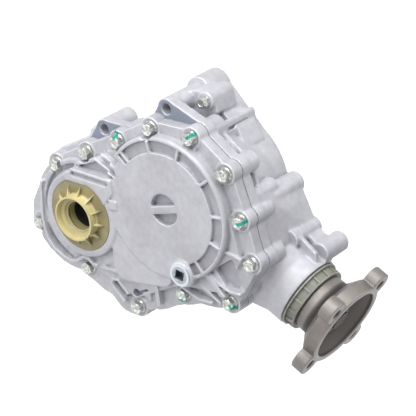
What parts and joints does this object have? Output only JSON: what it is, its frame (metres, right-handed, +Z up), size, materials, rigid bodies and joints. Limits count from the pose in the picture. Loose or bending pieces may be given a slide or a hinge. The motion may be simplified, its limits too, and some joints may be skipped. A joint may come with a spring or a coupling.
{
  "type": "transfer case",
  "caption": "Cast transfer case with a ribbed cover, a splined hollow input shaft, gears in mesh inside and a right-angle output ending in an eared flange.",
  "frame": {"origin": "on the input axis, in the transmission face, inside the spigot", "axes": "+X along the output pinion towards the propeller shaft flange, +Y along the input axis towards the transmission (the cover is on the -Y side), +Z up"},
  "size_m": [0.3367, 0.1491, 0.2506],
  "materials": {
    "cast_aluminium": "as-cast, light bead blast",
    "cover_casting": "as-cast, light bead blast",
    "sealant": "cured bead",
    "zinc_steel": "zinc plated",
    "gear_steel": "case-hardened, ground flanks",
    "bearing_steel": "ground",
    "forged_steel": "forged, machined rim",
    "seal_rubber": "moulded rubber on a steel case",
    "cream_plastic": "moulded",
    "olive_plastic": "moulded",
    "plug_steel": "coated"
  },
  "bodies": {
    "case": {"main_housing": "cast_aluminium", "front_cover": "cover_casting", "joint_sealant": "sealant", "cover_screws": "zinc_steel", "dowel_pins": "bearing_steel", "fill_plug": "plug_steel", "fill_washer": "plug_steel", "breather_plug": "zinc_steel", "drain_plug": "zinc_steel", "spigot_ring": "seal_rubber", "axle_seal": "seal_rubber", "input_seal": "seal_rubber", "output_seal": "seal_rubber", "input_front_outer_race": "bearing_steel", "input_rear_outer_race": "bearing_steel", "transfer_front_outer_race": "bearing_steel", "transfer_rear_outer_race": "bearing_steel", "pinion_inner_outer_race": "bearing_steel", "pinion_outer_outer_race": "bearing_steel"},
    "input": {"input_shaft": "gear_steel", "input_gear": "gear_steel", "input_front_inner_race": "bearing_steel", "input_rear_inner_race": "bearing_steel"},
    "transfer": {"transfer_shaft": "gear_steel", "driven_gear": "gear_steel", "ring_gear": "gear_steel", "ring_gear_screws": "bearing_steel", "transfer_front_inner_race": "bearing_steel", "transfer_rear_inner_race": "bearing_steel"},
    "output": {"output_pinion": "gear_steel", "crush_spacer": "bearing_steel", "pinion_inner_inner_race": "bearing_steel", "pinion_outer_inner_race": "bearing_steel", "companion_flange": "forged_steel", "dust_ring": "olive_plastic", "pinion_washer": "bearing_steel", "pinion_nut": "bearing_steel"},
    "protector": {"seal_protector": "cream_plastic"},
    "input_front_cage": {"input_front_rollers": "bearing_steel"},
    "input_rear_cage": {"input_rear_rollers": "bearing_steel"},
    "transfer_front_cage": {"transfer_front_rollers": "bearing_steel"},
    "transfer_rear_cage": {"transfer_rear_rollers": "bearing_steel"},
    "pinion_inner_cage": {"pinion_inner_rollers": "bearing_steel"},
    "pinion_outer_cage": {"pinion_outer_rollers": "bearing_steel"}
  },
  "joints": [
    {"name": "transfer_spin", "type": "hinge", "parent": "case", "child": "transfer", "pos_m": [0.08093, -0.04, 0.07815], "axis": [0, 1, 0], "continuous": true},
    {"name": "input_spin", "type": "hinge", "parent": "case", "child": "input", "pos_m": [0, -0.04, 0], "axis": [0, 1, 0], "continuous": true},
    {"name": "output_spin", "type": "hinge", "parent": "case", "child": "output", "pos_m": [0.18093, -0.035, 0.05415], "axis": [1, 0, 0], "continuous": true},
    {"name": "protector_pull", "type": "slide", "parent": "case", "child": "protector", "axis": [0, -1, 0], "range_m": [0, 0.04]},
    {"name": "input_front_cage_spin", "type": "hinge", "parent": "case", "child": "input_front_cage", "pos_m": [0, -0.09, 0], "axis": [0, 1, 0], "continuous": true},
    {"name": "input_rear_cage_spin", "type": "hinge", "parent": "case", "child": "input_rear_cage", "pos_m": [0, -0.01, 0], "axis": [0, 1, 0], "continuous": true},
    {"name": "transfer_front_cage_spin", "type": "hinge", "parent": "case", "child": "transfer_front_cage", "pos_m": [0.08093, -0.09, 0.07815], "axis": [0, 1, 0], "continuous": true},
    {"name": "transfer_rear_cage_spin", "type": "hinge", "parent": "case", "child": "transfer_rear_cage", "pos_m": [0.08093, -0.002, 0.07815], "axis": [0, 1, 0], "continuous": true},
    {"name": "pinion_inner_cage_spin", "type": "hinge", "parent": "case", "child": "pinion_inner_cage", "pos_m": [0.14093, -0.035, 0.05415], "axis": [1, 0, 0], "continuous": true},
    {"name": "pinion_outer_cage_spin", "type": "hinge", "parent": "case", "child": "pinion_outer_cage", "pos_m": [0.18593, -0.035, 0.05415], "axis": [1, 0, 0], "continuous": true}
  ],
  "couplings": [
    {"joint": "input_spin", "follows": "transfer_spin", "ratio": -1.5},
    {"joint": "output_spin", "follows": "transfer_spin", "ratio": -2.5},
    {"joint": "input_front_cage_spin", "follows": "transfer_spin", "ratio": -0.67222},
    {"joint": "input_rear_cage_spin", "follows": "transfer_spin", "ratio": -0.67222},
    {"joint": "transfer_front_cage_spin", "follows": "transfer_spin", "ratio": 0.43333},
    {"joint": "transfer_rear_cage_spin", "follows": "transfer_spin", "ratio": 0.44493},
    {"joint": "pinion_inner_cage_spin", "follows": "transfer_spin", "ratio": -1.0988},
    {"joint": "pinion_outer_cage_spin", "follows": "transfer_spin", "ratio": -1.0918}
  ]
}
